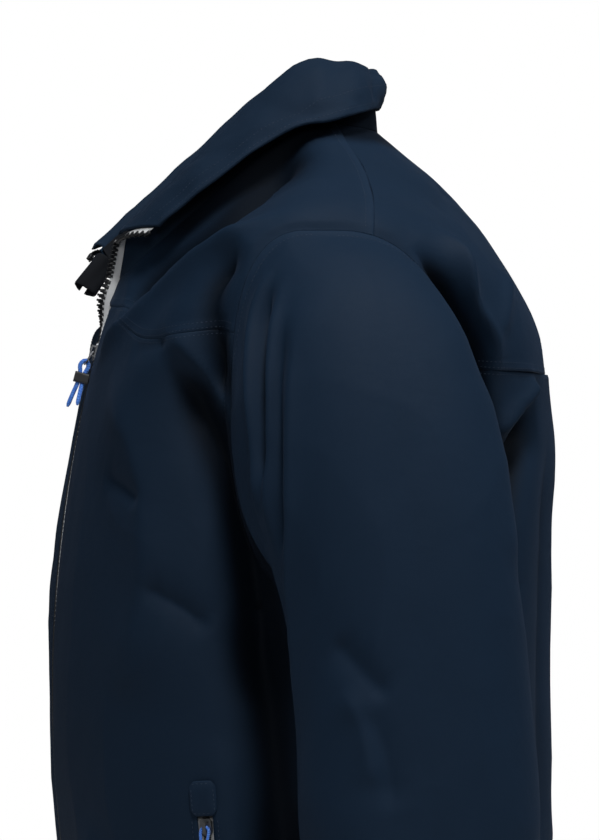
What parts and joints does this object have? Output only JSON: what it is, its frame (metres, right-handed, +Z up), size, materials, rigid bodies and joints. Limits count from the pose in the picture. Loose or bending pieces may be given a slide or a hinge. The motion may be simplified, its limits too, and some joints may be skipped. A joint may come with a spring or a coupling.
{
  "type": "foul weather jacket",
  "caption": "Hip-length waterproof sailing jacket with a turned-down stand collar, full front zip, yokes, hand-pocket zips, adjustable cuffs, a drawcord hem and a hang loop.",
  "frame": {"origin": "underside of the hang loop's strap, where a hook carries the jacket", "axes": "+Z up the hanging jacket, -Y the zipped front, +X the wearer's left"},
  "size_m": [0.6162, 0.3786, 0.8261],
  "materials": {
    "shell_cloth": "matt water-proof softshell, navy",
    "yoke_cloth": "matt water-proof softshell, navy",
    "charcoal_cloth": "brushed charcoal tricot",
    "lining_cloth": "grey-blue mesh lining",
    "zip_tape": "white woven zip tape",
    "dark_plastic": "moulded acetal, satin",
    "slider_metal": "die-cast slider, worn satin",
    "blue_cord": "braided polyester cord",
    "dark_cord": "braided elastic cord",
    "label": "plain woven label, no text"
  },
  "bodies": {
    "jacket": {"left_front_panel": "shell_cloth", "right_front_panel": "shell_cloth", "left_front_yoke": "yoke_cloth", "right_front_yoke": "yoke_cloth", "back_yoke": "yoke_cloth", "back_panel": "shell_cloth", "collar_stand": "shell_cloth", "collar_lining": "charcoal_cloth", "collar_fall": "shell_cloth", "left_front_lining": "lining_cloth", "right_front_lining": "lining_cloth", "back_lining": "lining_cloth", "back_yoke_lining": "charcoal_cloth", "left_hem_facing": "charcoal_cloth", "right_hem_facing": "charcoal_cloth", "back_hem_facing": "charcoal_cloth", "inner_storm_flap": "shell_cloth", "neck_tape": "charcoal_cloth", "hang_loop": "charcoal_cloth", "size_label": "label", "left_zip_tape": "zip_tape", "right_zip_tape": "zip_tape", "left_zip_teeth": "dark_plastic", "right_zip_teeth": "dark_plastic", "zip_retainer_box": "dark_plastic", "zip_insertion_pin": "dark_plastic", "left_pocket_zip_tape": "zip_tape", "right_pocket_zip_tape": "zip_tape", "left_pocket_zip_coil": "dark_plastic", "right_pocket_zip_coil": "dark_plastic", "left_pocket_garage": "yoke_cloth", "right_pocket_garage": "yoke_cloth", "left_pocket_bag": "lining_cloth", "right_pocket_bag": "lining_cloth", "hem_drawcord": "dark_cord", "left_cord_lock": "dark_plastic", "right_cord_lock": "dark_plastic"},
    "main_slider": {"main_slider": "slider_metal"},
    "main_pull": {"main_pull_ring": "slider_metal", "main_pull_cord": "blue_cord", "main_pull_grip": "dark_plastic"},
    "left_sleeve": {"left_sleeve": "yoke_cloth", "left_sleeve_lining": "lining_cloth", "left_cuff": "shell_cloth", "left_cuff_patch": "charcoal_cloth"},
    "left_cuff_tab": {"left_cuff_tab": "yoke_cloth"},
    "left_pocket_slider": {"left_pocket_slider": "slider_metal"},
    "left_pocket_pull": {"left_pocket_pull_cord": "blue_cord"},
    "left_plunger": {"left_cord_lock_plunger": "dark_plastic"},
    "right_sleeve": {"right_sleeve": "yoke_cloth", "right_sleeve_lining": "lining_cloth", "right_cuff": "shell_cloth", "right_cuff_patch": "charcoal_cloth"},
    "right_cuff_tab": {"right_cuff_tab": "yoke_cloth"},
    "right_pocket_slider": {"right_pocket_slider": "slider_metal"},
    "right_pocket_pull": {"right_pocket_pull_cord": "blue_cord"},
    "right_plunger": {"right_cord_lock_plunger": "dark_plastic"}
  },
  "joints": [
    {"name": "main_zip", "type": "hinge", "parent": "jacket", "child": "main_slider", "pos_m": [0, 0.769, -0.42], "axis": [1, 0, 0], "range_deg": [0, 33.74]},
    {"name": "main_pull", "type": "hinge", "parent": "main_slider", "child": "main_pull", "pos_m": [0, -0.20021, -0.16813], "axis": [-1, 0, 0], "range_deg": [0, 140]},
    {"name": "left_pocket_zip", "type": "slide", "parent": "jacket", "child": "left_pocket_slider", "axis": [-0.002, 0.0788, -0.9969], "range_m": [0, 0.15]},
    {"name": "left_pocket_pull", "type": "hinge", "parent": "left_pocket_slider", "child": "left_pocket_pull", "pos_m": [0.18539, -0.13465, -0.50502], "axis": [-0.398, -0.9174, 0], "range_deg": [0, 120]},
    {"name": "left_shoulder", "type": "hinge", "parent": "jacket", "child": "left_sleeve", "pos_m": [0.2045, -0.05, -0.0845], "axis": [0, -1, 0], "range_deg": [0, 60]},
    {"name": "left_cuff_tab", "type": "hinge", "parent": "left_sleeve", "child": "left_cuff_tab", "pos_m": [0.29579, 0.0539, -0.686], "axis": [0, 0, -1], "range_deg": [0, 75]},
    {"name": "left_cord_lock", "type": "slide", "parent": "jacket", "child": "left_plunger", "axis": [0, 0, -1], "range_m": [0, 0.0025], "stiffness_N_per_m": 300, "springref_m": -0.001},
    {"name": "right_pocket_zip", "type": "slide", "parent": "jacket", "child": "right_pocket_slider", "axis": [0.002, 0.0788, -0.9969], "range_m": [0, 0.15]},
    {"name": "right_pocket_pull", "type": "hinge", "parent": "right_pocket_slider", "child": "right_pocket_pull", "pos_m": [-0.18539, -0.13465, -0.50502], "axis": [-0.398, 0.9174, 0], "range_deg": [0, 120]},
    {"name": "right_shoulder", "type": "hinge", "parent": "jacket", "child": "right_sleeve", "pos_m": [-0.2045, -0.05, -0.0845], "axis": [0, 1, 0], "range_deg": [0, 60]},
    {"name": "right_cuff_tab", "type": "hinge", "parent": "right_sleeve", "child": "right_cuff_tab", "pos_m": [-0.29579, 0.0539, -0.686], "axis": [0, 0, 1], "range_deg": [0, 75]},
    {"name": "right_cord_lock", "type": "slide", "parent": "jacket", "child": "right_plunger", "axis": [0, 0, -1], "range_m": [0, 0.0025], "stiffness_N_per_m": 300, "springref_m": -0.001}
  ]
}
